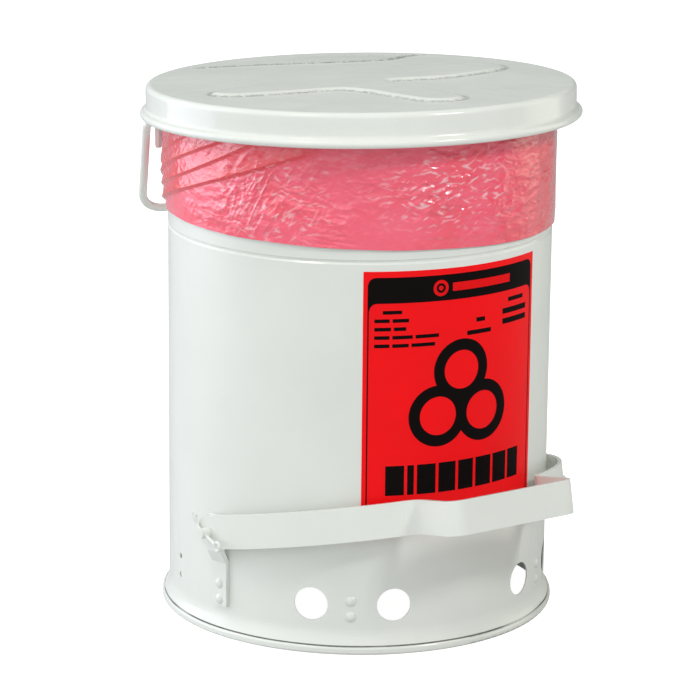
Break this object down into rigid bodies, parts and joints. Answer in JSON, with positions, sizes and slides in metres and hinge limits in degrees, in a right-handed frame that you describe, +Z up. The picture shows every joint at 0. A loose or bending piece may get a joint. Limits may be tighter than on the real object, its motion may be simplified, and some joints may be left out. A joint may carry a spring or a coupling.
{
  "type": "foot-operated waste bin",
  "caption": "Round white steel waste bin on a ventilated skirt, with a foot-opened overhanging lid, a folded plastic liner, a front label and a wire carry handle.",
  "frame": {"origin": "centre of the base, on the floor", "axes": "+Z up, -Y towards the front (pedal and label), +X to the right seen from the front"},
  "size_m": [0.3324, 0.3959, 0.4072],
  "materials": {
    "painted_steel": "glossy white powder coat",
    "painted_fastener": "glossy white paint over steel",
    "painted_wire": "glossy white paint over drawn wire",
    "plated_steel": "zinc plated",
    "label_film": "glossy printed film",
    "liner_film": "thin crinkled polyethylene film"
  },
  "bodies": {
    "can": {"body_shell": "painted_steel", "base_skirt": "painted_steel", "base_ring": "painted_steel", "bottom_pan": "painted_steel", "label": "label_film", "liner_bag": "liner_film", "pivot_bracket_left": "painted_steel", "pivot_bracket_right": "painted_steel", "pivot_bracket_rivets": "painted_fastener", "skirt_rivets": "painted_fastener", "pivot_spacers": "painted_steel", "hinge_bracket": "painted_steel", "hinge_bracket_rivets": "painted_fastener", "hinge_pin": "plated_steel", "handle_ear_left": "painted_steel", "handle_ear_right": "painted_steel", "handle_ear_rivets": "painted_fastener", "rod_guide_upper": "painted_steel", "rod_guide_lower": "painted_steel", "rod_guide_rivets": "painted_fastener"},
    "pedal": {"pedal_strap": "painted_steel", "lift_crank": "painted_wire", "cotter_pins": "painted_fastener"},
    "lift_rod": {"lift_rod": "painted_wire", "rod_foot": "painted_wire", "rod_head": "painted_wire"},
    "lid": {"lid_shell": "painted_steel", "lid_hinge_arm": "painted_steel", "lid_hinge_rivets": "painted_fastener", "lever_pin": "plated_steel"},
    "handle": {"carry_handle": "painted_wire"}
  },
  "joints": [
    {"name": "lid_hinge", "type": "hinge", "parent": "can", "child": "lid", "pos_m": [0, 0.186, 0.374], "axis": [-1, 0, 0], "range_deg": [0, 60]},
    {"name": "pedal_pivot", "type": "hinge", "parent": "can", "child": "pedal", "pos_m": [0, -0.034, 0.083], "axis": [1, 0, 0], "range_deg": [0, 10]},
    {"name": "lift_rod_slide", "type": "slide", "parent": "can", "child": "lift_rod", "axis": [0, 0, 1], "range_m": [0, 0.0283]},
    {"name": "carry_handle_swing", "type": "hinge", "parent": "can", "child": "handle", "pos_m": [0, 0.1066, 0.366], "axis": [1, 0, 0], "range_deg": [0, 58]}
  ],
  "couplings": [
    {"joint": "pedal_pivot", "follows": "lid_hinge", "ratio": 0.16667},
    {"joint": "lift_rod_slide", "follows": "lid_hinge", "m_per_rad": 0.027024}
  ]
}
